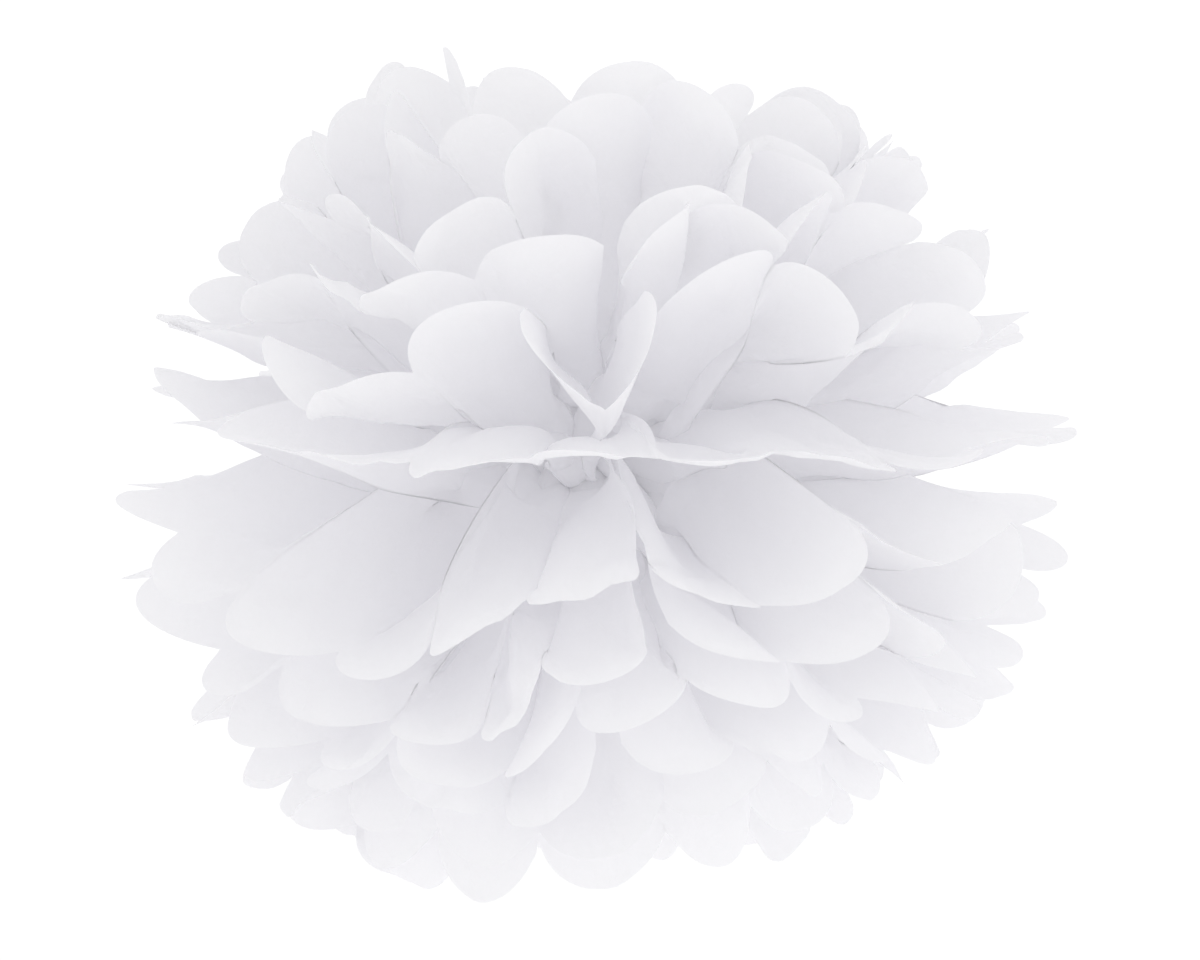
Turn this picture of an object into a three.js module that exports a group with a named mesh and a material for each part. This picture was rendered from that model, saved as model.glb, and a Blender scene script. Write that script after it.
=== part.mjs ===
// A hanging pom pom of tissue paper. Twelve sheets are pleated together into
// one strip, a wire ties the strip at its waist, both ends are cut round, and
// the sheets are pulled apart, one by one, into a ball.
//
// Millimetres, +Z up. The origin is the middle of the tie. The strip lies
// along X, so each sheet opens into two half-round fans, one towards +X and
// one towards -X, whose free edges meet at the front (-Y) and the back (+Y).
// Sheet 1 is pulled up the furthest and sheet 12 down the furthest.

import * as THREE from "three";

// The paper, as it is bought and cut.
const SHEET_COUNT = 12;
const SHEET_LENGTH = 250; // along the pleats, from tip to tip
const PLEAT_COUNT = 11; // panels across a sheet
const PLEAT_WIDTH = 32;
const ROUND_RADIUS = PLEAT_WIDTH / 2; // each panel's end is a half circle
const PAPER_WALL = 0.4; // stands in for paper that is 0.03 thick

// How the sheets are pulled apart.
const TOP_ELEVATION = THREE.MathUtils.degToRad(59); // of the first and last sheets
const SEAM_GAP = THREE.MathUtils.degToRad(3); // between the two fans' free edges
const BEND_LENGTH = 5; // a sheet turns from the waist to its slope over about this
const LEAST_PLEAT = 1; // height left in a sheet that lies nearly flat

// The waist, where the wire gathers the strip.
const WAIST_PITCH = 1.25; // from one sheet to the next
const WAIST_DEPTH = 9; // front to back
const WAIST_HALF_LENGTH = 3; // from the wire to where the fans start
const WIRE_RADIUS = 0.35;
const WIRE_GAP = 0.35; // between the wire and the paper
const WAIST_CORNER = 1; // radius of the wire's bends round the waist

// The wire's two ends are twisted together, and one makes the hanging eye.
const TWIST_TURNS = 3;
const TWIST_PITCH = 3.6;
const TWIST_RADIUS = WIRE_RADIUS + 0.12; // of the helix that each strand follows
const TWIST_START = 1.2; // above the top of the waist loop
const EYE_RADIUS = 2.2;
const EYE_MOUTH = THREE.MathUtils.degToRad(76); // left open at the bottom, where the strands enter

// How finely the shapes are cut into faces.
const FOLD_ROWS = [0, 0.09, 0.37, 0.69, 1]; // shares of a fold's length
const ARC_STEPS = 6;
const WIRE_SIDES = 6;
const WIRE_STEPS = 100;
const EYE_STEPS = 10;
const WAIST_BEND_STEPS = 3;
const TWIST_STEPS_PER_TURN = 8;

const FOLD_COUNT = PLEAT_COUNT + 1;
const CUSP = SHEET_LENGTH / 2 - ROUND_RADIUS - WAIST_HALF_LENGTH; // a fold's length
const FAN_ANGLE = Math.PI - SEAM_GAP;
const PANEL_ANGLE = FAN_ANGLE / PLEAT_COUNT;

const PAPER = new THREE.MeshStandardMaterial({ color: 0xf1f0f4, roughness: 0.85, side: THREE.DoubleSide });
const STEEL = new THREE.MeshStandardMaterial({ color: 0xc9cbd0, roughness: 0.35, metalness: 0.9 });

// From +1 on the top sheet to -1 on the bottom one.
function rank(sheet) {
  return 1 - (2 * sheet) / (SHEET_COUNT - 1);
}

function waistHeight(sheet) {
  return (rank(sheet) * (SHEET_COUNT - 1) * WAIST_PITCH) / 2;
}

// Round Z, from the front free edge (fold 0) to the back one.
function foldAzimuth(fold) {
  return -FAN_ANGLE / 2 + fold * PANEL_ANGLE;
}

// How far apart two folds stand at the rim, measured along the slope's cone.
function openWidth(sheet) {
  return CUSP * Math.cos(rank(sheet) * TOP_ELEVATION) * PANEL_ANGLE;
}

// How far ridges stand above valleys at the rim: what is left of the pleat's
// width once the fan has opened.
function pleatHeight(sheet) {
  const left = PLEAT_WIDTH ** 2 - openWidth(sheet) ** 2;
  return Math.sqrt(Math.max(left, LEAST_PLEAT ** 2));
}

// The mean slope at a distance from the tie, which eases in from the waist.
function elevation(sheet, along) {
  return (rank(sheet) * TOP_ELEVATION * along) / (along + BEND_LENGTH);
}

// Square to the sheet's mean slope, in the upright plane of one fold.
function slopeNormal(sheet, side, azimuth, along) {
  const slope = elevation(sheet, along);
  return new THREE.Vector3(
    -side * Math.sin(slope) * Math.cos(azimuth),
    -Math.sin(slope) * Math.sin(azimuth),
    Math.cos(slope),
  );
}

// A point on a fold. Folds are ridge, valley, ridge, and so on.
function foldPoint(sheet, side, fold, along) {
  const azimuth = foldAzimuth(fold);
  const slope = elevation(sheet, along);
  const reach = along * Math.cos(slope);
  const ridge = fold % 2 === 0 ? 0.5 : -0.5;
  return new THREE.Vector3(
    side * (WAIST_HALF_LENGTH + reach * Math.cos(azimuth)),
    WAIST_DEPTH * (fold / PLEAT_COUNT - 0.5) + reach * Math.sin(azimuth),
    waistHeight(sheet) + along * Math.sin(slope),
  ).addScaledVector(
    slopeNormal(sheet, side, azimuth, along),
    (ridge * pleatHeight(sheet) * along) / CUSP,
  );
}

// A point on the round end of a panel, from one cusp (0) round to the next
// (ARC_STEPS). The end lies flat in the plane of its two folds.
function arcPoint(sheet, side, panel, step) {
  const turn = (Math.PI * step) / ARC_STEPS;
  const near = foldPoint(sheet, side, panel, CUSP);
  const far = foldPoint(sheet, side, panel + 1, CUSP);
  const inner = foldPoint(sheet, side, panel, CUSP - ROUND_RADIUS)
    .add(foldPoint(sheet, side, panel + 1, CUSP - ROUND_RADIUS))
    .multiplyScalar(0.5);
  const outwards = near.clone().add(far).multiplyScalar(0.5).sub(inner).normalize();
  return near
    .lerp(far, (1 - Math.cos(turn)) / 2)
    .addScaledVector(outwards, ROUND_RADIUS * Math.sin(turn));
}

// A growing list of points, each with the direction its thickness goes in,
// and the triangles between them.
class Surface {
  points = [];
  normals = [];
  triangles = [];

  add(point, normal) {
    this.points.push(point);
    this.normals.push(normal);
    return this.points.length - 1;
  }

  // The four corners go round anticlockwise as seen from above.
  quad(a, b, c, d) {
    this.triangles.push([a, b, c], [a, c, d]);
  }

  // The same surface with a thickness: two faces, and a wall along each edge
  // that only one triangle uses.
  solid(thickness) {
    const count = this.points.length;
    const lifted = (share) =>
      this.points.map((p, i) => p.clone().addScaledVector(this.normals[i], share * thickness));
    const vertices = [...lifted(0.5), ...lifted(-0.5)];
    const edges = new Set(
      this.triangles.flatMap(([a, b, c]) => [`${a} ${b}`, `${b} ${c}`, `${c} ${a}`]),
    );
    const walls = [...edges]
      .map((edge) => edge.split(" ").map(Number))
      .filter(([a, b]) => !edges.has(`${b} ${a}`))
      .flatMap(([a, b]) => [[b, a, a + count], [b, a + count, b + count]]);
    const faces = this.triangles.flatMap(([a, b, c]) => [[a, b, c], [a + count, c + count, b + count]]);
    return new THREE.BufferGeometry()
      .setFromPoints(vertices)
      .setIndex([...faces, ...walls].flat());
  }
}

// One half-round fan. Returns the points of its first row, at the waist.
function addFan(surface, sheet, side) {
  const rows = FOLD_ROWS.map((share) =>
    Array.from({ length: FOLD_COUNT }, (_, fold) =>
      surface.add(
        foldPoint(sheet, side, fold, share * CUSP),
        slopeNormal(sheet, side, foldAzimuth(fold), share * CUSP),
      ),
    ),
  );
  const face = (a, b, c, d) => (side > 0 ? surface.quad(a, b, c, d) : surface.quad(d, c, b, a));
  for (let row = 1; row < rows.length; row += 1) {
    for (let panel = 0; panel < PLEAT_COUNT; panel += 1) {
      const [inner, outer] = [rows[row - 1], rows[row]];
      face(inner[panel], outer[panel], outer[panel + 1], inner[panel + 1]);
    }
  }
  const rim = rows.at(-1);
  for (let panel = 0; panel < PLEAT_COUNT; panel += 1) {
    addRoundEnd(surface, sheet, side, panel, rim[panel], rim[panel + 1], face);
  }
  return rows[0];
}

// A panel's half circle, in rungs from its two cusps to its tip.
function addRoundEnd(surface, sheet, side, panel, nearCusp, farCusp, face) {
  const azimuth = (foldAzimuth(panel) + foldAzimuth(panel + 1)) / 2;
  const normal = slopeNormal(sheet, side, azimuth, CUSP);
  const point = (step) => surface.add(arcPoint(sheet, side, panel, step), normal);
  let [near, far] = [nearCusp, farCusp];
  for (let step = 1; step < ARC_STEPS / 2; step += 1) {
    const [nextNear, nextFar] = [point(step), point(ARC_STEPS - step)];
    face(near, nextNear, nextFar, far);
    [near, far] = [nextNear, nextFar];
  }
  const tip = point(ARC_STEPS / 2);
  surface.triangles.push(side > 0 ? [near, tip, far] : [far, tip, near]);
}

// One sheet: two fans, joined through the waist.
function sheetGeometry(sheet) {
  const surface = new Surface();
  const right = addFan(surface, sheet, 1);
  const left = addFan(surface, sheet, -1);
  for (let panel = 0; panel < PLEAT_COUNT; panel += 1) {
    surface.quad(left[panel], right[panel], right[panel + 1], left[panel + 1]);
  }
  const steepness = Math.atan2(pleatHeight(sheet), openWidth(sheet));
  return surface.solid(PAPER_WALL / Math.cos(steepness));
}

const LOOP_HALF_DEPTH = WAIST_DEPTH / 2 + WIRE_GAP + WIRE_RADIUS;
const LOOP_HALF_HEIGHT = (SHEET_COUNT * WAIST_PITCH) / 2 + WIRE_GAP + WIRE_RADIUS;
const TWIST_BASE = LOOP_HALF_HEIGHT + TWIST_START;
const TWIST_TOP = TWIST_BASE + TWIST_TURNS * TWIST_PITCH;
const EYE_HEIGHT = TWIST_TOP + EYE_RADIUS + 2 * WIRE_RADIUS;

// One strand of the twist, from its base up. The two strands face each other.
function twistPoints(startAngle, steps) {
  return Array.from({ length: steps + 1 }, (_, step) => {
    const angle = startAngle + (2 * Math.PI * TWIST_TURNS * step) / steps;
    return new THREE.Vector3(
      TWIST_RADIUS * Math.cos(angle),
      TWIST_RADIUS * Math.sin(angle),
      THREE.MathUtils.lerp(TWIST_BASE, TWIST_TOP, step / steps),
    );
  });
}

// A quarter bend of the waist loop, in the YZ plane.
function waistBend(y, z, startAngle) {
  return Array.from({ length: WAIST_BEND_STEPS + 1 }, (_, step) => {
    const angle = startAngle + (step / WAIST_BEND_STEPS) * (Math.PI / 2);
    return new THREE.Vector3(0, y + WAIST_CORNER * Math.cos(angle), z + WAIST_CORNER * Math.sin(angle));
  });
}

// The whole wire: the eye, down one strand, round the waist, up the other.
function wirePath() {
  const y = LOOP_HALF_DEPTH - WAIST_CORNER;
  const z = LOOP_HALF_HEIGHT - WAIST_CORNER;
  const eye = Array.from({ length: EYE_STEPS + 1 }, (_, step) => {
    const angle = (EYE_MOUTH - Math.PI) / 2 + ((2 * Math.PI - EYE_MOUTH) * step) / EYE_STEPS;
    return new THREE.Vector3(0, EYE_RADIUS * Math.cos(angle), EYE_HEIGHT + EYE_RADIUS * Math.sin(angle));
  });
  const waist = [
    ...waistBend(-y, z, Math.PI / 2),
    ...waistBend(-y, -z, Math.PI),
    ...waistBend(y, -z, (3 * Math.PI) / 2),
    ...waistBend(y, z, 0),
  ];
  const twistSteps = TWIST_STEPS_PER_TURN * TWIST_TURNS;
  return new THREE.CatmullRomCurve3([
    ...eye,
    ...twistPoints(-Math.PI / 2, twistSteps).reverse(),
    ...waist,
    ...twistPoints(Math.PI / 2, twistSteps),
  ]);
}

function wireGeometry() {
  const section = new THREE.Shape().setFromPoints(
    Array.from({ length: WIRE_SIDES }, (_, side) => {
      const angle = (2 * Math.PI * side) / WIRE_SIDES;
      return new THREE.Vector2(WIRE_RADIUS * Math.cos(angle), WIRE_RADIUS * Math.sin(angle));
    }),
  );
  return new THREE.ExtrudeGeometry(section, {
    extrudePath: wirePath(),
    steps: WIRE_STEPS,
    bevelEnabled: false,
  });
}

const pomPom = new THREE.Group();

for (let sheet = 0; sheet < SHEET_COUNT; sheet += 1) {
  const mesh = new THREE.Mesh(sheetGeometry(sheet), PAPER);
  mesh.name = `tissue_sheet_${String(sheet + 1).padStart(2, "0")}`;
  pomPom.add(mesh);
}

const tieWire = new THREE.Mesh(wireGeometry(), STEEL);
tieWire.name = "tie_wire";
pomPom.add(tieWire);

export default pomPom;
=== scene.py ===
"""A hanging pom pom of white tissue paper.

Twelve sheets are laid flat, pleated, tied at the waist, cut round at both ends
and pulled apart into a ball. Each sheet is first placed fold by fold. Then the
sheets settle: they bend anywhere, and are drawn to the paper's own lengths and
away from the sheets above and below. Last, small wrinkles are evened out and the
ends are patted in to the ball's outline, which both shorten the paper a little.
The sheets still cross in places, and near the tie nearly everywhere.
"""

import math

import bpy
import numpy as np
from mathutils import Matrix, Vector


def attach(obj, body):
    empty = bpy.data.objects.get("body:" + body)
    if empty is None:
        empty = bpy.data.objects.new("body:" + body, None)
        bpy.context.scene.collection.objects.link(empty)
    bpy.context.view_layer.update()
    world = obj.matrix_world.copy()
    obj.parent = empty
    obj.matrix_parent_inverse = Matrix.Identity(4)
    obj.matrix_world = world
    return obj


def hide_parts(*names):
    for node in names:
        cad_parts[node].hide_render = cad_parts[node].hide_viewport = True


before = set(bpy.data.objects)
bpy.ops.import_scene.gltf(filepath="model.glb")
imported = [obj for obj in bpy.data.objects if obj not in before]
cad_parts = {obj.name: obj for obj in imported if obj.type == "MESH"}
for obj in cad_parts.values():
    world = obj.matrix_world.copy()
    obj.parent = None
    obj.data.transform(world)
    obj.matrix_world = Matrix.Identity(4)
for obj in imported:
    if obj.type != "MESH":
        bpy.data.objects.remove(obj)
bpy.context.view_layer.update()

# The paper, in millimetres, as in the CAD model.
SHEETS = 12
PANELS = 11
PLEAT = 32.0
TIP = 125.0  # from the tie to the top of a round end
ROUND = PLEAT / 2
CUSP = TIP - ROUND
WAIST = 3.0  # from the tie to where the fans start
WAIST_DEPTH = 9.0
WAIST_PITCH = 1.25
WAIST_BEND = 5.0  # a sheet turns from the waist to its slope over about this
PINCH = 0.97  # share of a pleat's height that the tie presses flat
PINCH_LENGTH = 12.0  # over which the pleats get their height back
LEAST_HEIGHT = 2.0  # of a pleat, however wide it is pulled open
SEED = 7

# The wire round the waist, in millimetres: its two ends are twisted together
# and one makes the hanging eye.
WIRE_RADIUS = 0.35
WIRE_GAP = 0.35
WAIST_CORNER = 1.0
TWIST_TURNS = 3
TWIST_PITCH = 3.6
TWIST_RADIUS = WIRE_RADIUS + 0.12
TWIST_START = 1.2
EYE_RADIUS = 2.2
EYE_MOUTH = 76.0  # degrees left open at the bottom of the eye
LOOP_HALF_DEPTH = WAIST_DEPTH / 2 + WIRE_GAP + WIRE_RADIUS
LOOP_HALF_HEIGHT = SHEETS * WAIST_PITCH / 2 + WIRE_GAP + WIRE_RADIUS
TWIST_BASE = LOOP_HALF_HEIGHT + TWIST_START
TWIST_TOP = TWIST_BASE + TWIST_TURNS * TWIST_PITCH
EYE_HEIGHT = TWIST_TOP + EYE_RADIUS + 2 * WIRE_RADIUS
RING_SPACING = 0.25

# The solving grid: steps across one panel, and rows from the tie to the rim.
STEPS = 7
ROWS = 28
COLUMNS = PANELS * STEPS + 1
ROUND_FROM = 0.62  # share of the rows after which they start to follow the round ends

# Elevation of each sheet, in degrees, from the top one down.
ELEVATIONS = (51, 45, 37, 27.5, 17, 6, -5, -16, -27, -38, -48.5, -58)
BACK_SEAM_MOST = 24.0  # how far the seams at the back may stand from the middle, in degrees
BACK_SEAM_SHARE = 0.6  # of the paper a steep sheet has to spare
SIDE_LIFT = 9.0  # how much steeper than at the front a sheet stands at the sides
LONG_WAVE, SHORT_WAVE, FOLD_LIFT = 2.0, 1.2, 2.0  # chance lifts of the folds, in degrees

# How wide the pleats at the sides and back stand: a pair of panels stands open and the
# next nearly shut, by turns. The limits are shares of a pleat that is pulled flat.
OPEN_PAIR, SHUT_PAIR = 1.45, 0.5
PAIR_SPREAD, PANEL_SPREAD = 0.25, 0.1
MOST_OPEN, LEAST_OPEN = 0.97, 0.1

# The petals' chance shapes, in millimetres.
CUP = 2.2
CURL = 6.0
RUMPLE = 0.25

# How strongly a point keeps near its place as the sheets settle. Between the two
# distances from the tie, in millimetres, it gets weaker.
HOLD_PETAL = 0.35
HOLD_FROM, HOLD_TO = 12, 30
TIP_FREEDOM = 0.3
TIP_FROM = 95
HOLD_FIRST, HOLD_LAST = 0.15, 0.02

# How the sheets settle.
SETTLE_STEPS = 220
ORDER_EVERY = 4
FREE_STEPS = 12  # the last of them, in which only the paper's own lengths count
KEEP_LENGTH = 0.9
KEEP_SQUARE = 0.5
KEEP_FLAT = 0.25
SHEET_GAP = 1.2
MOST_SHIFT = 0.03  # radians that a point moves at a time, to get clear of the next sheet
ORDER_FROM = 5  # the first row that is pushed clear of the next sheet
IRON_FROM = 13  # the first row of the petals that is evened out
IRON_PASSES = 3
PRESS_FROM, PRESS_TO = 50, 115  # distances from the tie where patting starts and is full

# Handling creases in each sheet, in millimetres and radians.
CREASES = 260
CREASE_FROM = 18  # from the tie
CREASE_TURN = 0.45
CREASE_HALF_LENGTHS = 8, 30
CREASE_HALF_WIDTHS = 2.5, 8
CREASE_SLOPE = 0.13

# How the petals at the front are arranged. Each pair is one fold at the
# rim: degrees round from the front, towards its own fan's side, and degrees up.
# The list starts at the seam, and two folds next to each other stand a pleat's
# width apart, which is about 16 degrees. The folds after the last fall by chance.
RIGHT, LEFT = 1, -1
ARRANGED = {
    (1, LEFT): ((1, 49), (25, 55), (50, 64), (80, 62)),
    (1, RIGHT): ((-8, 54), (18, 50), (42, 58), (60, 49)),
    (2, LEFT): ((-14, 48), (8, 41), (29, 45), (47, 50), (57, 60), (63, 46), (80, 52)),
    (2, RIGHT): ((6, 50), (27, 48), (45, 41), (62, 49)),
    (3, LEFT): ((-2.3, 41), (10.8, 33.6), (23, 24), (35, 31), (50, 36), (65, 42), (71, 27),
                (87, 33)),
    (3, RIGHT): ((2.8, 31), (20.4, 32.5), (28, 47), (44, 36), (56, 46), (70, 38), (81, 48)),
    (4, LEFT): ((-3, 28.2), (14.7, 24.7), (31, 19), (43, 26), (58, 20), (74, 17), (91, 20)),
    (4, RIGHT): ((3.8, 25), (12, 37), (27, 28), (40, 38), (56, 31), (66, 20), (75, 33)),
    (5, LEFT): ((-7.5, 22), (-3.5, 6.5), (6.8, 18.6), (21.8, 11.5), (36, 5), (45, 17)),
    (5, RIGHT): ((8.6, 21), (24, 27), (33, 13), (46, 22), (61, 15)),
    (6, LEFT): ((-9.5, 0.3), (6.3, 0.5), (22, -1.5), (37.5, 2.5), (53, 6)),
    (6, RIGHT): ((6, 0.5), (22, 1.5), (38, -1.5), (54, 2), (70, 1), (86, 4)),
    (7, LEFT): ((-7, -15), (7, -17), (21.5, -27), (37, -25), (53, -19), (68, -9)),
    (7, RIGHT): ((6, -15), (20, -18), (33, -9), (47, -13), (58, -6), (60, -22), (75, -15),
                 (90, -9)),
    (8, LEFT): ((-8, -22), (6, -25), (15, -38), (31, -34), (49, -31), (66, -26)),
    (8, RIGHT): ((8.5, -20.5), (24.6, -24), (38, -18), (51, -26), (66, -29), (82, -22)),
    (9, LEFT): ((-0.5, -30), (13, -41), (31, -41), (50, -38), (69, -35)),
    (9, RIGHT): ((-4, -33), (11, -28), (28, -30), (45, -33), (63, -36), (82, -31)),
    (10, LEFT): ((-1.7, -38), (15, -48), (37, -46), (58, -44), (79, -42)),
    (10, RIGHT): ((2.2, -37.3), (22, -40), (42, -41), (63, -43), (84, -40)),
    (11, LEFT): ((-16, -48), (9, -53), (34, -53), (60, -51), (84, -49)),
    (11, RIGHT): ((10, -50), (34, -47), (58, -50), (82, -48)),
    (12, LEFT): ((11, -59), (42, -60), (70, -57)),
    (12, RIGHT): ((-16, -55), (14, -58), (42, -60), (68, -54)),
}

# How far the ends of the first petals from the seam roll over, up or down, and how
# high the first folds from it are humped halfway out.
ROLLED = {
    (6, LEFT): (-2, -2, -1),
    (6, RIGHT): (-2, -1, -1),
    (7, LEFT): (0, 2, 0),
    (7, RIGHT): (2, 0, 0),
}
HUMPED = {
    (6, LEFT): (4, 14, 3, 1, 0),
    (6, RIGHT): (4, 12, 4, 2, 0),
    (7, LEFT): (6, 6, 5, 5, 2, 0),
    (7, RIGHT): (6, 6, 3, 0),
}

# The outline the ball was patted into, seen from the front: how far out its petals
# reach at each angle round from the right, as a share of the paper's full reach.
OUTLINE = (
    (0, 1.0), (16, 0.93), (30, 0.93), (45, 0.88), (56, 0.84), (66, 0.86), (80, 0.96), (96, 0.93),
    (106, 0.93), (120, 0.85), (138, 0.86), (152, 0.87), (162, 0.93), (176, 0.93), (186, 1.0),
    (205, 1.0), (220, 0.96), (235, 0.92), (246, 0.9), (256, 0.98), (272, 0.98), (290, 0.89),
    (298, 0.85), (306, 0.86), (320, 0.92), (340, 0.97), (360, 1.0),
)

rng = np.random.default_rng(SEED)


# ---------------------------------------------------------------- flat sheet

def column_places():
    """Flat place across the sheet of each grid column, closer together near the folds."""
    across = ROUND * (1 - np.cos(np.pi * np.arange(STEPS) / STEPS))
    panels = PLEAT * np.arange(PANELS)
    return np.append((panels[:, None] + across).ravel(), PANELS * PLEAT)


def reach_places(across):
    """Flat distance from the tie of each grid point: rows bend to follow the round ends."""
    place = across / PLEAT
    panel = np.minimum(np.floor(place), PANELS - 1)
    share = place - panel
    mirrored = np.where(panel % 2 == 0, share, 1 - share)
    lean = mirrored ** 0.93
    bulge = np.sqrt(np.clip(ROUND ** 2 - (PLEAT * lean - ROUND) ** 2, 0, None))
    row = np.arange(ROWS + 1) / ROWS
    follow = np.clip((row - ROUND_FROM) / (1 - ROUND_FROM), 0, 1) ** 1.4
    return CUSP * row[:, None] + follow[:, None] * bulge[None, :]


ACROSS = column_places()
REACH = reach_places(ACROSS)
PANEL_OF = np.minimum(np.arange(COLUMNS) // STEPS, PANELS - 1)
SHARE_OF = ACROSS / PLEAT - PANEL_OF


# ------------------------------------------------------------ placing the folds

def smooth(x, low, high):
    """0 below low, 1 above high, and an even curve between them."""
    t = np.clip((x - low) / (high - low), 0, 1)
    return t * t * (3 - 2 * t)


def panel_openings(count, elevation, total):
    """Azimuth taken by each of the last panels of one fan. Steep sheets have paper to
    spare, so some of their pleats stand open and others stay nearly shut."""
    most = MOST_OPEN * PLEAT / (CUSP * math.cos(elevation))
    open_now = (np.arange(count) + 2 * rng.integers(2)) // 2 % 2 == 0
    pairs = np.where(open_now, OPEN_PAIR, SHUT_PAIR)
    by_pair = np.repeat(rng.lognormal(0, PAIR_SPREAD, count), 2)[:count]
    wish = pairs * by_pair * rng.lognormal(0, PANEL_SPREAD, count)
    low, high = 0.0, 50.0
    for _ in range(60):
        middle = (low + high) / 2
        if np.clip(wish * middle, LEAST_OPEN * most, most).sum() < total:
            low = middle
        else:
            high = middle
    widths = np.clip(wish * low, LEAST_OPEN * most, most)
    return widths * total / widths.sum()


# Folds stand above and below the sheet's mean slope by turns. The free edge at the
# front, which is no fold, stands off it less.
RIDGE_SIGN = np.where(np.arange(PANELS + 1) % 2 == 0, 0.25, -0.25)
RIDGE_SIGN[0] *= 0.3


def pleat_height(width):
    """Height left in a pleat that is pulled open to a width."""
    return np.sqrt(np.clip(PLEAT ** 2 - width ** 2, LEAST_HEIGHT ** 2, None))


def ridge_heights(opening, out):
    """How far each fold stands off the sheet's mean slope, from the azimuths of the
    panels on both sides of it."""
    width = np.concatenate((opening[:1], opening, opening[-1:]))
    height = pleat_height(out * width)
    return RIDGE_SIGN * (height[:-1] + height[1:])


def fan_folds(sheet, side):
    """Azimuth and mean elevation of the twelve folds of one fan, in radians."""
    base = math.radians(ELEVATIONS[sheet])
    chosen = np.radians(ARRANGED[sheet + 1, side])
    front = chosen[:, 0] - math.pi / 2
    left = PANELS + 1 - len(chosen)
    back = math.pi / 2 - side * BACK_SEAMS[sheet] - 0.01
    widths = panel_openings(left, base, back - front[-1])
    azimuth = np.concatenate((front, front[-1] + np.cumsum(widths)))
    wave = rng.uniform(0, 2 * math.pi, 2)
    lift = LONG_WAVE * np.sin(2 * azimuth + wave[0]) + SHORT_WAVE * np.sin(5 * azimuth + wave[1])
    lift = lift + rng.normal(0, FOLD_LIFT, PANELS + 1)
    lift = lift + SIDE_LIFT * math.sin(base) * np.cos(azimuth) ** 2
    elevation = base + np.radians(lift)
    ridges = ridge_heights(np.diff(azimuth), CUSP * math.cos(base))
    elevation[: len(chosen)] = chosen[:, 1] - ridges[: len(chosen)] / CUSP
    return azimuth, elevation


def back_seams():
    """Where each sheet's two fans meet at the back. A flat sheet has hardly enough
    paper to go round, and a steep one has some to spare, so its seam may wander."""
    full_turn = PANELS * math.degrees(PLEAT / CUSP) / np.cos(np.radians(ELEVATIONS))
    spare = np.clip(BACK_SEAM_SHARE * (full_turn - 180), 0, BACK_SEAM_MOST)
    return np.radians(spare * np.where(np.arange(SHEETS) % 2 == 0, 1, -1))


BACK_SEAMS = back_seams()


def grid_normals(grid):
    """Unit normal at each point of a grid."""
    normal = np.cross(np.gradient(grid, axis=0), np.gradient(grid, axis=1))
    return normal / np.maximum(np.linalg.norm(normal, axis=-1, keepdims=True), 1e-6)


def fan_points(sheet, side):
    """Grid points of one fan, ruled from fold to fold."""
    azimuth, elevation = fan_folds(sheet, side)
    opening = np.diff(azimuth)
    waist_height = WAIST_PITCH * ((SHEETS - 1) / 2 - sheet)

    def fold_curve(fold, reach):
        """Points on a fold, for an array of fold numbers and distances from the tie."""
        free = np.clip(reach - WAIST, 0, None)
        slope = elevation[fold] * free / (free + WAIST_BEND)
        out = free * np.cos(slope)
        before = opening[np.clip(fold - 1, 0, PANELS - 1)]
        after = opening[np.clip(fold, 0, PANELS - 1)]
        pinch = 1 - PINCH * np.exp(-free / PINCH_LENGTH)
        both = pleat_height(out * before) + pleat_height(out * after)
        ridge = RIDGE_SIGN[fold] * both * pinch
        x = np.minimum(reach, WAIST) + out * np.cos(azimuth[fold])
        x = x - ridge * np.sin(slope) * np.cos(azimuth[fold])
        y = WAIST_DEPTH * (fold / PANELS - 0.5) + out * np.sin(azimuth[fold])
        y = y - ridge * np.sin(slope) * np.sin(azimuth[fold])
        z = waist_height + free * np.sin(slope) + ridge * np.cos(slope)
        return np.stack((side * x, y, z), -1)

    fold = np.broadcast_to(PANEL_OF, REACH.shape)
    share = SHARE_OF[None, :, None]
    near = fold_curve(fold, REACH)
    far = fold_curve(fold + 1, REACH)
    points = near * (1 - share) + far * share

    # Each petal is cupped across, and its end curls in or out.
    normal = grid_normals(points) * side
    cup = rng.normal(0, CUP, PANELS)[PANEL_OF]
    curl = rng.normal(0, CURL, PANELS)
    curl[: len(ARRANGED[sheet + 1, side])] *= 0.5
    rolled = ROLLED.get((sheet + 1, side), ())
    curl[: len(rolled)] = rolled
    curl = curl[PANEL_OF]
    crosswise = 4 * SHARE_OF * (1 - SHARE_OF)
    bulge = cup * crosswise * smooth(REACH, 30, 100)
    bend = curl * smooth(REACH, 60, TIP) ** 2 * (0.6 + 0.4 * crosswise)
    humped = HUMPED.get((sheet + 1, side), (0,))
    hump = np.interp(ACROSS / PLEAT, np.arange(len(humped)), humped)
    hump = hump * np.sin(np.pi * np.clip(REACH / CUSP, 0, 1))
    points = points + normal * (bulge + bend)[..., None]
    points[..., 2] += hump
    return points


# ------------------------------------------------------------------ settling

def pull(first, second, rest, stiffness):
    """Moves two arrays of points together or apart, towards their rest distance."""
    gap = second - first
    length = np.sqrt(np.einsum("...i,...i->...", gap, gap)) + 1e-6
    step = gap * (0.5 * stiffness * (length - rest) / length)[..., None]
    first += step
    second -= step


def flat_distance(rows, columns):
    """Flat distance between each grid point and the one that many rows and columns on."""
    height, width = REACH.shape
    a = REACH[: height - rows, max(-columns, 0): width - max(columns, 0)]
    b = REACH[rows:, max(columns, 0): width + min(columns, 0)]
    c = ACROSS[max(-columns, 0): width - max(columns, 0)]
    d = ACROSS[max(columns, 0): width + min(columns, 0)]
    return np.hypot(b - a, (d - c)[None, :]).astype(np.float32)


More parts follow.
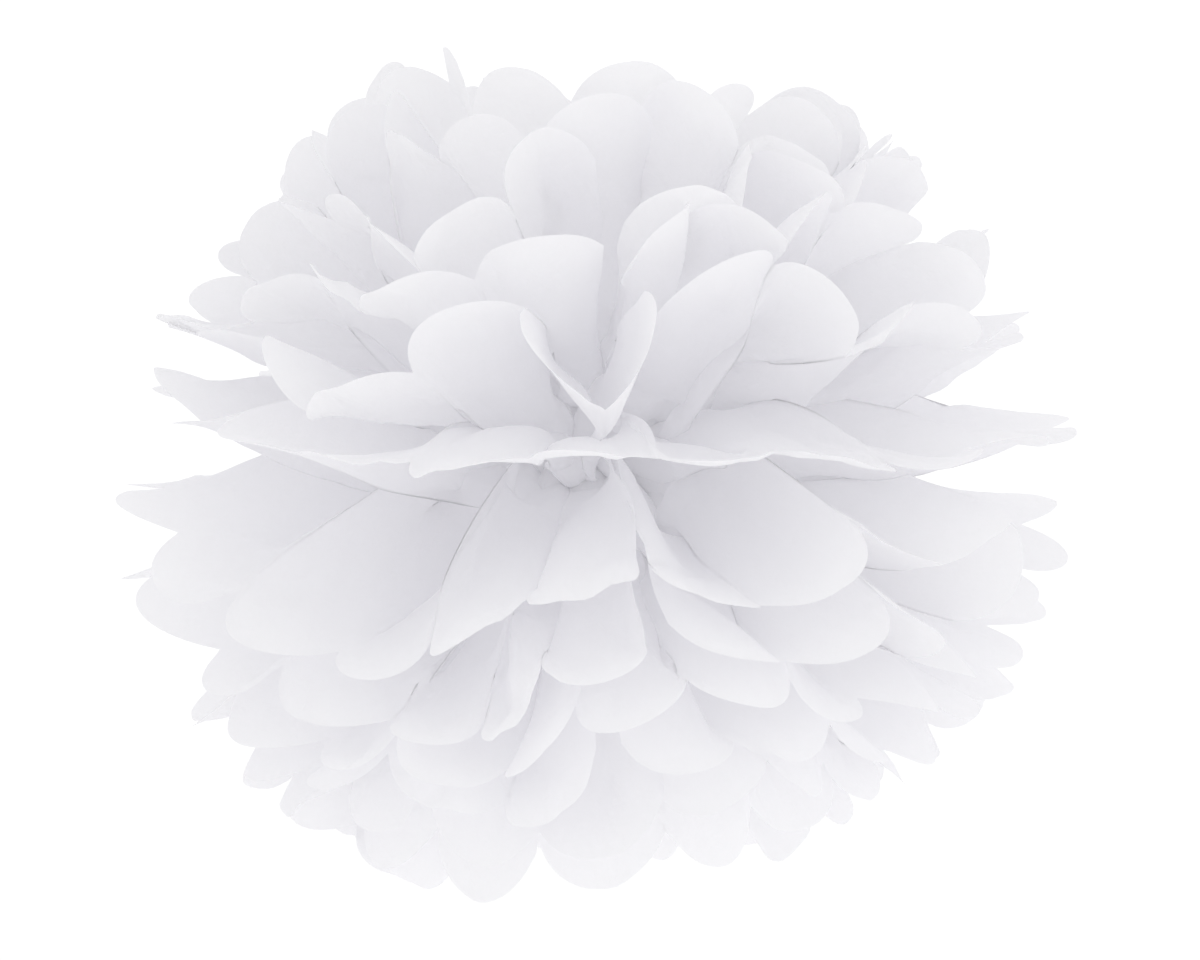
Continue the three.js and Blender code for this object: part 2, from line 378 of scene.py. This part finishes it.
def settle(points, target, hold):
    """Draws the sheets towards shapes that keep the paper's own lengths."""
    points = points.astype(np.float32)
    target = target.astype(np.float32)
    hold = hold.astype(np.float32)[None, None, ..., None]
    rest_out = flat_distance(1, 0)
    rest_over = flat_distance(0, 1)
    rest_down = flat_distance(1, 1)
    rest_up = flat_distance(1, -1)
    rest_out2 = flat_distance(2, 0)
    rest_over2 = flat_distance(0, 2)
    inside = np.arange(1, COLUMNS - 1) % STEPS != 0
    bend_over = np.where(inside, KEEP_FLAT, 0.0).astype(np.float32)
    for step in range(SETTLE_STEPS):
        ease = 1 - step / SETTLE_STEPS
        points += (target - points) * hold * (HOLD_FIRST * ease + HOLD_LAST)
        for start in (0, 1):
            first = points[:, :, start:-1:2]
            second = points[:, :, start + 1::2]
            pull(first, second, rest_out[start::2], KEEP_LENGTH)
        for start in (0, 1):
            first = points[:, :, :, start:-1:2]
            second = points[:, :, :, start + 1::2]
            pull(first, second, rest_over[:, start::2], KEEP_LENGTH)
        for start in (0, 1):
            first = points[:, :, start:-1:2, :-1]
            second = points[:, :, start + 1::2, 1:]
            pull(first, second, rest_down[start::2], KEEP_SQUARE)
            first = points[:, :, start:-1:2, 1:]
            second = points[:, :, start + 1::2, :-1]
            pull(first, second, rest_up[start::2], KEEP_SQUARE)
        for start in range(4):
            first = points[:, :, start:-2:4]
            second = points[:, :, start + 2::4]
            pull(first, second, rest_out2[start::4], KEEP_FLAT)
            first = points[:, :, :, start:-2:4]
            second = points[:, :, :, start + 2::4]
            pull(first, second, rest_over2[:, start::4], bend_over[None, start::4])
        if step % ORDER_EVERY == ORDER_EVERY - 1 and step < SETTLE_STEPS - FREE_STEPS:
            keep_order(points)
        points[:, :, 0] = target[:, :, 0]
    return points


def iron(points):
    """Evens out the petals' smallest wrinkles, except along the folds."""
    inside = np.flatnonzero(np.arange(COLUMNS) % STEPS)
    inside = inside[inside < COLUMNS - 1]
    free = points[:, :, IRON_FROM:]
    for _ in range(IRON_PASSES):
        free[:, :, 1:-1] = 0.5 * free[:, :, 1:-1] + 0.25 * (free[:, :, :-2] + free[:, :, 2:])
        beside = free[..., inside - 1, :] + free[..., inside + 1, :]
        free[..., inside, :] = 0.7 * free[..., inside, :] + 0.15 * beside
    return points


def keep_order(points):
    """Pushes each sheet above the next one down, wherever both lie in one direction."""
    ring = np.concatenate((points[:, 0], points[:, 1, :, ::-1]), axis=2)
    level = np.hypot(ring[..., 0], ring[..., 1])
    turn = np.arctan2(ring[..., 1], ring[..., 0])
    rise = np.arctan2(ring[..., 2], level)
    away = np.sqrt(level ** 2 + ring[..., 2] ** 2) + 1e-6
    shift = np.zeros_like(rise)

    def rise_of(sheet, row, turns):
        return np.interp(turns, turn[sheet, row], rise[sheet, row], period=2 * math.pi)

    for row in range(ORDER_FROM, ROWS + 1):
        for upper in range(SHEETS - 1):
            lower = upper + 1
            gap = SHEET_GAP / away[lower, row]
            above = rise_of(upper, row, turn[lower, row])
            shift[lower, row] -= 0.5 * np.maximum(rise[lower, row] + gap - above, 0)
            gap = SHEET_GAP / away[upper, row]
            below = rise_of(lower, row, turn[upper, row])
            shift[upper, row] += 0.5 * np.maximum(below + gap - rise[upper, row], 0)
    rise = rise + np.clip(shift, -MOST_SHIFT, MOST_SHIFT)
    ring[..., 2] = away * np.sin(rise)
    scale = away * np.cos(rise) / np.maximum(level, 1e-6)
    ring[..., 0] *= scale
    ring[..., 1] *= scale
    points[:, 0] = ring[:, :, :COLUMNS]
    points[:, 1] = ring[:, :, COLUMNS:][:, :, ::-1]


def pat_down(points):
    """Presses the petals' ends in to the ball's outline."""
    away = np.hypot(points[..., 0], points[..., 2])
    angle = np.degrees(np.arctan2(points[..., 2], points[..., 0])) % 360
    degrees, share = np.transpose(OUTLINE)
    press = 1 - (1 - np.interp(angle, degrees, share)) * smooth(away, PRESS_FROM, PRESS_TO)
    points[..., 0] *= press
    points[..., 2] *= press
    return points


# ------------------------------------------------------------------- meshing

def refine(grid, axis, breaks=()):
    """Cuts each step of the grid in three along an axis, with a smooth curve through
    its points which may turn sharply at the breaks."""
    grid = np.moveaxis(grid, axis, 0)
    before = np.concatenate((2 * grid[:1] - grid[1:2], grid[:-2]))
    after = np.concatenate((grid[2:], 2 * grid[-1:] - grid[-2:-1]))
    for place in breaks:
        before[place] = 2 * grid[place] - grid[place + 1]
        after[place - 1] = 2 * grid[place] - grid[place - 1]
    near, far = grid[:-1], grid[1:]
    result = np.empty((3 * len(near) + 1,) + grid.shape[1:], grid.dtype)
    result[::3] = grid
    for part in (1, 2):
        t = part / 3
        slope_near = (far - before) / 2
        slope_far = (after - near) / 2
        result[part::3] = (
            near * (1 + 2 * t) * (1 - t) ** 2 + slope_near * t * (1 - t) ** 2
            + far * (3 - 2 * t) * t ** 2 - slope_far * (1 - t) * t ** 2)
    return np.moveaxis(result, 0, axis)


def creases(flat):
    """Height of the handling creases at each point of a flat sheet: short sharp ridges
    and furrows, most of them running outwards from the tie."""
    height = np.zeros(flat.shape[:2])
    out, across = flat[..., 0], flat[..., 1]
    for _ in range(CREASES):
        middle_out = rng.choice((-1, 1)) * rng.uniform(CREASE_FROM, TIP)
        middle_across = rng.uniform(0, PANELS * PLEAT)
        turn = rng.normal(0, CREASE_TURN)
        half_length = rng.uniform(*CREASE_HALF_LENGTHS)
        half_width = rng.uniform(*CREASE_HALF_WIDTHS)
        rise = rng.normal(0, CREASE_SLOPE) * half_width
        along = (out - middle_out) * math.cos(turn) + (across - middle_across) * math.sin(turn)
        aside = (across - middle_across) * math.cos(turn) - (out - middle_out) * math.sin(turn)
        ridge = np.clip(1 - np.abs(aside) / half_width, 0, 1)
        height += rise * ridge * np.clip(1 - (along / half_length) ** 2, 0, 1)
    return height


def mesh_object(name, grid, flat):
    """A mesh of quads from a grid of points in millimetres. The flat sheet is its UV map."""
    rows, columns = grid.shape[:2]
    index = np.arange(rows * columns).reshape(rows, columns)
    corners = (index[:-1, :-1], index[:-1, 1:], index[1:, 1:], index[1:, :-1])
    quads = np.stack(corners, -1).reshape(-1, 4)
    mesh = bpy.data.meshes.new(name)
    mesh.from_pydata((grid.reshape(-1, 3) / 1000).tolist(), [], quads.tolist())
    uv = mesh.uv_layers.new(name="flat_sheet")
    uv.data.foreach_set("uv", (flat.reshape(-1, 2)[quads.ravel()] / 1000).ravel())
    mesh.polygons.foreach_set("use_smooth", [True] * len(quads))
    piece = bpy.data.objects.new(name, mesh)
    bpy.context.scene.collection.objects.link(piece)
    return piece


def make_sheets():
    placed = np.stack([
        np.stack([fan_points(sheet, side) for side in (1, -1)]) for sheet in range(SHEETS)
    ])
    near = 1 - smooth(REACH, HOLD_FROM, HOLD_TO)
    hold = HOLD_PETAL + (1 - HOLD_PETAL) * near - TIP_FREEDOM * smooth(REACH, TIP_FROM, TIP)
    start = placed + rng.normal(0, RUMPLE, placed.shape)
    settled = pat_down(iron(settle(start, placed, hold).astype(float)))
    pieces = []
    for sheet in range(SHEETS):
        right, left = settled[sheet]
        grid = np.concatenate((left[:0:-1], right))
        reach = np.concatenate((-REACH[:0:-1], REACH))
        flat = np.stack((reach, np.broadcast_to(ACROSS, reach.shape)), -1)
        grid = refine(refine(grid, 0), 1, range(STEPS, COLUMNS - 1, STEPS))
        flat = refine(refine(flat, 0), 1, range(STEPS, COLUMNS - 1, STEPS))
        grid = grid + grid_normals(grid) * creases(flat)[..., None]
        piece = mesh_object(f"paper_sheet_{sheet + 1:02d}", grid, flat)
        pieces.append(piece)
    return pieces


# ------------------------------------------------------------------ materials

class Value:
    """A socket that holds a number, with the signs for adding and multiplying."""

    def __init__(self, made, socket):
        self.made = made
        self.socket = socket

    def _maths(self, operation, other):
        node = self.made.node("ShaderNodeMath", {"operation": operation}, (self, other))
        return Value(self.made, node.outputs[0])

    def __add__(self, other):
        return self._maths("ADD", other)

    __radd__ = __add__

    def __mul__(self, other):
        return self._maths("MULTIPLY", other)

    __rmul__ = __mul__


class Finish:
    """A material whose nodes are made one by one."""

    def __init__(self, name):
        self.material = bpy.data.materials.new(name)
        self.material.use_nodes = True
        self.tree = self.material.node_tree
        self.tree.nodes.clear()

    def node(self, kind, settings=None, inputs=()):
        node = self.tree.nodes.new(kind)
        for key, value in (settings or {}).items():
            setattr(node, key, value)
        named = inputs.items() if isinstance(inputs, dict) else enumerate(inputs)
        for key, value in named:
            if isinstance(value, Value):
                value = value.socket
            if isinstance(value, bpy.types.NodeSocket):
                self.tree.links.new(value, node.inputs[key])
            else:
                node.inputs[key].default_value = value
        return node

    def value(self, node, output=0):
        return Value(self, node.outputs[output])

    def surface(self, shader):
        self.node("ShaderNodeOutputMaterial", None, {"Surface": shader.outputs[0]})


TISSUE_COLOR = (0.972, 0.969, 0.984, 1)


def tissue_finish():
    made = Finish("white_tissue")
    flat = made.node("ShaderNodeUVMap", {"uv_map": "flat_sheet"})
    cloud = made.node("ShaderNodeTexNoise", None, {
        "Vector": flat.outputs[0], "Scale": 900.0, "Detail": 6.0, "Roughness": 0.6})
    crumple = made.node("ShaderNodeTexNoise", None, {
        "Vector": flat.outputs[0], "Scale": 90.0, "Detail": 4.0, "Roughness": 0.5,
        "Distortion": 0.6})
    height = made.value(cloud) * 0.25 + made.value(crumple)
    bump = made.node("ShaderNodeBump", None, {
        "Strength": 0.35, "Distance": 0.0012, "Height": height})
    paper = made.node("ShaderNodeBsdfPrincipled", None, {
        "Base Color": TISSUE_COLOR, "Roughness": 0.85, "Specular IOR Level": 0.15,
        "Normal": bump.outputs[0]})
    glow = made.node("ShaderNodeBsdfTranslucent", None, {
        "Color": TISSUE_COLOR, "Normal": bump.outputs[0]})
    both = made.node("ShaderNodeMixShader", None, {
        0: 0.45, 1: paper.outputs[0], 2: glow.outputs[0]})
    made.surface(both)
    return made.material


def wire_finish():
    made = Finish("tie_wire_steel")
    place = made.node("ShaderNodeTexCoord")
    scratch = made.node("ShaderNodeTexNoise", None, {
        "Vector": place.outputs["Object"], "Scale": 1500.0, "Detail": 3.0})
    roughness = made.value(scratch) * 0.25 + 0.25
    steel = made.node("ShaderNodeBsdfPrincipled", None, {
        "Base Color": (0.62, 0.63, 0.65, 1), "Metallic": 1.0, "Roughness": roughness})
    made.surface(steel)
    return made.material


# ----------------------------------------------------------------- tie wire

def arc(middle, radius, start, end, steps):
    """Points on an arc in the plane across the ball, in millimetres."""
    angles = np.radians(np.linspace(start, end, steps + 1))
    y, z = middle
    return [(0.0, y + radius * math.cos(a), z + radius * math.sin(a)) for a in angles]


def twist(start):
    """One strand of the twist, from the waist loop up to the eye."""
    steps = 16 * TWIST_TURNS
    share = np.arange(steps + 1) / steps
    angle = start + 2 * math.pi * TWIST_TURNS * share
    height = TWIST_BASE + (TWIST_TOP - TWIST_BASE) * share
    aside = TWIST_RADIUS * np.cos(angle), TWIST_RADIUS * np.sin(angle)
    return np.stack((*aside, height), 1).tolist()


def wire_path():
    """The middle of the wire: round the eye, down one strand, round the waist, up the other."""
    y = LOOP_HALF_DEPTH - WAIST_CORNER
    z = LOOP_HALF_HEIGHT - WAIST_CORNER
    eye = arc((0, EYE_HEIGHT), EYE_RADIUS, (EYE_MOUTH - 180) / 2, (540 - EYE_MOUTH) / 2, 28)
    waist = []
    for middle, start in (((-y, z), 90), ((-y, -z), 180), ((y, -z), 270), ((y, z), 0)):
        waist += arc(middle, WAIST_CORNER, start, start + 90, 6)
    return eye + twist(-math.pi / 2)[::-1] + waist + twist(math.pi / 2)


def wire_tree(finish):
    """Sweeps a round section along a curve."""
    tree = bpy.data.node_groups.new("drawn_wire", "GeometryNodeTree")
    add_socket, new, link = tree.interface.new_socket, tree.nodes.new, tree.links.new
    add_socket("Path", in_out="INPUT", socket_type="NodeSocketGeometry")
    radius = add_socket("Wire radius", in_out="INPUT", socket_type="NodeSocketFloat")
    spacing = add_socket("Ring spacing", in_out="INPUT", socket_type="NodeSocketFloat")
    add_socket("Wire", in_out="OUTPUT", socket_type="NodeSocketGeometry")
    given = new("NodeGroupInput")
    smoothed = new("GeometryNodeCurveSplineType")
    smoothed.spline_type = "CATMULL_ROM"
    rings = new("GeometryNodeResampleCurve")
    rings.mode = "LENGTH"
    section = new("GeometryNodeCurvePrimitiveCircle")
    section.inputs["Resolution"].default_value = 12
    sweep = new("GeometryNodeCurveToMesh")
    sweep.inputs["Fill Caps"].default_value = True
    shade = new("GeometryNodeSetShadeSmooth")
    real = new("GeometryNodeRealizeInstances")
    coat = new("GeometryNodeSetMaterial")
    coat.inputs["Material"].default_value = finish
    made = new("NodeGroupOutput")
    link(given.outputs["Path"], smoothed.inputs["Curve"])
    link(smoothed.outputs["Curve"], rings.inputs["Curve"])
    link(given.outputs["Ring spacing"], rings.inputs["Length"])
    link(given.outputs["Wire radius"], section.inputs["Radius"])
    link(rings.outputs["Curve"], sweep.inputs["Curve"])
    link(section.outputs["Curve"], sweep.inputs["Profile Curve"])
    link(sweep.outputs["Mesh"], shade.inputs["Geometry"])
    link(shade.outputs["Geometry"], real.inputs["Geometry"])
    link(real.outputs["Geometry"], coat.inputs["Geometry"])
    link(coat.outputs["Geometry"], made.inputs["Wire"])
    return tree, {radius.identifier: WIRE_RADIUS / 1000, spacing.identifier: RING_SPACING / 1000}


def make_wire(finish):
    path = bpy.data.curves.new("wire_path", "CURVE")
    path.dimensions = "3D"
    points = wire_path()
    spline = path.splines.new("POLY")
    spline.points.add(len(points) - 1)
    for point, (x, y, z) in zip(spline.points, points):
        point.co = (x / 1000, y / 1000, z / 1000, 1)
    guide = bpy.data.objects.new("wire_path", path)
    bpy.context.scene.collection.objects.link(guide)
    tree, sizes = wire_tree(finish)
    sweep = guide.modifiers.new("drawn_wire", "NODES")
    sweep.node_group = tree
    for socket, size in sizes.items():
        sweep[socket] = size
    evaluated = guide.evaluated_get(bpy.context.evaluated_depsgraph_get())
    mesh = bpy.data.meshes.new_from_object(evaluated)
    bpy.data.objects.remove(guide)
    wire = bpy.data.objects.new("twisted_wire", mesh)
    bpy.context.scene.collection.objects.link(wire)
    return wire


# --------------------------------------------------------------------- build

tissue = tissue_finish()
steel = wire_finish()

wire = make_wire(steel)
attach(wire, "root")
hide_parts("tie_wire")

for number, piece in enumerate(make_sheets(), 1):
    piece.data.materials.append(tissue)
    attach(piece, "root")
    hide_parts(f"tissue_sheet_{number:02d}")


# ---------------------------------------------------------------------- room

FLOOR_SIZE = 6.0
FLOOR_HEIGHT = -0.45
FLOOR_GLOW = 0.12  # keeps the floor as light as the backdrop
ROOM_LIGHT = 0.936
ROOM_SLOPE = (0.04, 0.06, -0.02)  # the light comes a little more from one side
BACKDROP_LIFT = 0.13  # how much lighter the backdrop looks than it lights
SHADE_REACH = 0.0008  # metres within which surfaces shade each other after the last bounce
KEY_PLACE = (0.9, -0.7, -0.2)
KEY_SIZE = 0.6
KEY_POWER = 0.5
CAMERA_PLACE = (0.0013, -1.35, 0.009)
CAMERA_DIP = 0.6  # degrees down from level
LENS = 162.5


def floor_finish():
    made = Finish("pale_floor")
    grain = made.node("ShaderNodeTexNoise", None, {"Scale": 3.0})
    tone = made.node("ShaderNodeMix", {"data_type": "RGBA"}, {
        0: made.value(grain), 6: (1, 1, 1, 1), 7: (0.985, 0.985, 0.985, 1)})
    made.surface(made.node("ShaderNodeBsdfPrincipled", None, {
        "Base Color": tone.outputs[2], "Roughness": 0.9,
        "Emission Color": (1, 1, 1, 1), "Emission Strength": FLOOR_GLOW}))
    return made.material


def make_floor():
    """A pale floor below the ball."""
    mesh = bpy.data.meshes.new("floor")
    around = ((-1, -1), (1, -1), (1, 1), (-1, 1))
    corners = [(FLOOR_SIZE * x, FLOOR_SIZE * y, FLOOR_HEIGHT) for x, y in around]
    mesh.from_pydata(corners, [], [(0, 1, 2, 3)])
    floor = bpy.data.objects.new("floor", mesh)
    bpy.context.scene.collection.objects.link(floor)
    mesh.materials.append(floor_finish())


def make_key():
    """A soft light from the right."""
    light = bpy.data.lights.new("key", "AREA")
    light.shape = "DISK"
    light.size = KEY_SIZE
    light.energy = KEY_POWER
    lamp = bpy.data.objects.new("key", light)
    lamp.location = KEY_PLACE
    lamp.rotation_euler = (-Vector(KEY_PLACE)).to_track_quat("-Z", "Y").to_euler()
    bpy.context.scene.collection.objects.link(lamp)


def make_world():
    """Even light from all round, against a white backdrop."""
    world = bpy.data.worlds.new("studio")
    world.use_nodes = True
    nodes, links = world.node_tree.nodes, world.node_tree.links
    backdrop = nodes["Background"]
    backdrop.inputs["Color"].default_value = (1, 1, 1, 1)
    place = nodes.new("ShaderNodeTexCoord")
    direction = nodes.new("ShaderNodeVectorMath")
    direction.operation = "DOT_PRODUCT"
    direction.inputs[1].default_value = ROOM_SLOPE
    links.new(place.outputs["Generated"], direction.inputs[0])
    level = nodes.new("ShaderNodeMath")
    level.inputs[1].default_value = ROOM_LIGHT
    links.new(direction.outputs["Value"], level.inputs[0])
    path = nodes.new("ShaderNodeLightPath")
    seen = nodes.new("ShaderNodeMath")
    seen.operation = "MULTIPLY_ADD"
    seen.inputs[1].default_value = BACKDROP_LIFT
    links.new(path.outputs["Is Camera Ray"], seen.inputs[0])
    links.new(level.outputs[0], seen.inputs[2])
    links.new(seen.outputs[0], backdrop.inputs["Strength"])
    world.light_settings.distance = SHADE_REACH
    return world


def make_camera():
    camera = bpy.data.cameras.new("camera")
    camera.sensor_width = 36
    camera.lens = LENS
    view = bpy.data.objects.new("camera", camera)
    view.location = CAMERA_PLACE
    view.rotation_euler = (math.radians(90 - CAMERA_DIP), 0, 0)
    bpy.context.scene.collection.objects.link(view)
    return view


def make_room():
    scene = bpy.context.scene
    scene.view_settings.view_transform = "Standard"
    scene.cycles.use_fast_gi = True
    scene.cycles.fast_gi_method = "REPLACE"
    scene.cycles.ao_bounces_render = 3
    scene.world = make_world()
    make_key()
    make_floor()
    scene.camera = make_camera()


make_room()
